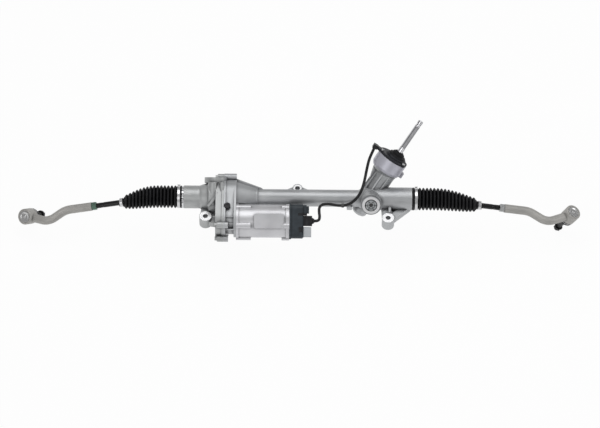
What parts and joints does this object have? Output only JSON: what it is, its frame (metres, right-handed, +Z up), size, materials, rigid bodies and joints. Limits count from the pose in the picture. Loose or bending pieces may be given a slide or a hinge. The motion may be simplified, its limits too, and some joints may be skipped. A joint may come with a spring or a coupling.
{
  "type": "steering rack",
  "caption": "Electric power steering rack: cast housing, belt-driven ball nut, side motor and control unit, angled pinion input, bellows, tie rods and outer ball joints.",
  "frame": {"origin": "centre of the left mounting bore, on the machined face at its top", "axes": "+Z up along the mounting bores, +X along the rack from the belt-drive end to the pinion end, +Y from the motor side to the rear mount"},
  "size_m": [1.4588, 0.2594, 0.305],
  "materials": {
    "cast_aluminium": "as-cast, machined at the joint faces and bosses",
    "machined_aluminium": "turned",
    "zinc_steel": "zinc plated",
    "dark_steel": "dark phosphate",
    "ground_steel": "ground and polished",
    "black_steel": "gloss black electrocoat",
    "forged_steel": "matt zinc-flake coat on a forging",
    "band_steel": "stainless band",
    "bellows_rubber": "moulded",
    "boot_rubber": "moulded",
    "cord_sheath": "smooth sheath",
    "black_plastic": "moulded",
    "charcoal_plastic": "fine texture",
    "grey_plastic": "moulded",
    "bearing_plastic": "moulded",
    "bearing_steel": "ground",
    "belt_rubber": "toothed",
    "winding_copper": "wound, with laminated steel",
    "magnet_steel": "coated"
  },
  "bodies": {
    "housing": {"rack_housing": "cast_aluminium", "gear_cover": "cast_aluminium", "gear_cover_bolts": "zinc_steel", "vent_plug": "black_plastic", "rack_bush": "bearing_plastic", "pinion_bearings": "bearing_steel", "pinion_cap": "zinc_steel", "yoke": "machined_aluminium", "yoke_spring": "dark_steel", "yoke_plug": "machined_aluminium", "torque_sensor": "black_plastic", "sensor_cap": "black_plastic", "sensor_cap_screws": "zinc_steel", "input_seal": "boot_rubber", "nut_bearing_outer": "bearing_steel", "motor_housing": "machined_aluminium", "stator": "winding_copper", "motor_bearings": "bearing_steel", "drive_belt": "belt_rubber", "ecu_housing": "charcoal_plastic", "signal_connector": "black_plastic", "power_connector": "grey_plastic", "sensor_cable": "cord_sheath", "cable_plug": "black_plastic", "cable_clip": "dark_steel", "sensor_plug": "black_plastic", "bellows_left": "bellows_rubber", "bellows_right": "bellows_rubber", "large_clamps": "band_steel"},
    "motor_rotor": {"rotor": "magnet_steel", "motor_shaft": "ground_steel", "drive_pulley": "dark_steel"},
    "nut": {"ball_nut": "ground_steel", "driven_pulley": "machined_aluminium"},
    "rack": {"rack_bar": "ground_steel", "inner_socket_left": "dark_steel", "inner_socket_right": "dark_steel", "inner_seats": "bearing_plastic"},
    "pinion": {"pinion_shaft": "ground_steel", "torsion_bar": "dark_steel", "input_shaft": "ground_steel", "sensor_rotor": "magnet_steel"},
    "tie_rod_left": {"tie_rod_left": "black_steel", "lock_nut_left": "dark_steel", "tie_rod_end_left": "forged_steel", "joint_cap_left": "band_steel", "outer_seat_left": "bearing_plastic", "small_clamp_left": "band_steel"},
    "boot_left": {"dust_boot_left": "boot_rubber"},
    "stud_left": {"ball_stud_left": "ground_steel", "stud_nut_left": "black_steel"},
    "tie_rod_right": {"tie_rod_right": "black_steel", "lock_nut_right": "zinc_steel", "tie_rod_end_right": "forged_steel", "joint_cap_right": "band_steel", "outer_seat_right": "bearing_plastic", "small_clamp_right": "band_steel"},
    "boot_right": {"dust_boot_right": "boot_rubber"},
    "stud_right": {"ball_stud_right": "ground_steel", "stud_nut_right": "black_steel"}
  },
  "joints": [
    {"name": "motor_spin", "type": "hinge", "parent": "housing", "child": "motor_rotor", "pos_m": [0.1, -0.01, -0.006], "axis": [1, 0, 0], "range_deg": [-9460, 9460]},
    {"name": "ball_nut_spin", "type": "hinge", "parent": "housing", "child": "nut", "pos_m": [0.04, 0.062, 0], "axis": [1, 0, 0], "range_deg": [-3602, 3602]},
    {"name": "rack_slide", "type": "slide", "parent": "housing", "child": "rack", "axis": [1, 0, 0], "range_m": [-0.07, 0.07], "deforming": ["bellows_left", "bellows_right"]},
    {"name": "pinion_spin", "type": "hinge", "parent": "housing", "child": "pinion", "pos_m": [0.421, 0.07651, -0.00942], "axis": [0.5373, 0.4593, 0.7073], "range_deg": [-485, 485]},
    {"name": "tie_rod_left_swing", "type": "hinge", "parent": "rack", "child": "tie_rod_left", "pos_m": [-0.1106, 0.062, 0], "axis": [0, 1, 0], "range_deg": [-4.7, 31.3]},
    {"name": "stud_left_tilt", "type": "hinge", "parent": "tie_rod_left", "child": "boot_left", "pos_m": [-0.46406, 0.0586, -0.08355], "axis": [0.1453, -0.7752, -0.6148], "range_deg": [-20, 20], "deforming": ["dust_boot_left"]},
    {"name": "stud_left_spin", "type": "hinge", "parent": "boot_left", "child": "stud_left", "pos_m": [-0.46406, 0.0586, -0.08355], "axis": [0.4535, 0.6044, -0.655], "continuous": true},
    {"name": "tie_rod_right_swing", "type": "hinge", "parent": "rack", "child": "tie_rod_right", "pos_m": [0.5706, 0.062, 0], "axis": [0, -1, 0], "range_deg": [-8, 28]},
    {"name": "stud_right_tilt", "type": "hinge", "parent": "tie_rod_right", "child": "boot_right", "pos_m": [0.94473, 0.066, -0.06597], "axis": [0.018, 0.9946, 0.1023], "range_deg": [-20, 20], "deforming": ["dust_boot_right"]},
    {"name": "stud_right_spin", "type": "hinge", "parent": "boot_right", "child": "stud_right", "pos_m": [0.94473, 0.066, -0.06597], "axis": [-0.4323, 0.1001, -0.8961], "continuous": true}
  ],
  "couplings": [
    {"joint": "ball_nut_spin", "follows": "rack_slide", "rad_per_m": -897.6},
    {"joint": "motor_spin", "follows": "rack_slide", "rad_per_m": -2356.2},
    {"joint": "pinion_spin", "follows": "rack_slide", "rad_per_m": 120.48}
  ]
}
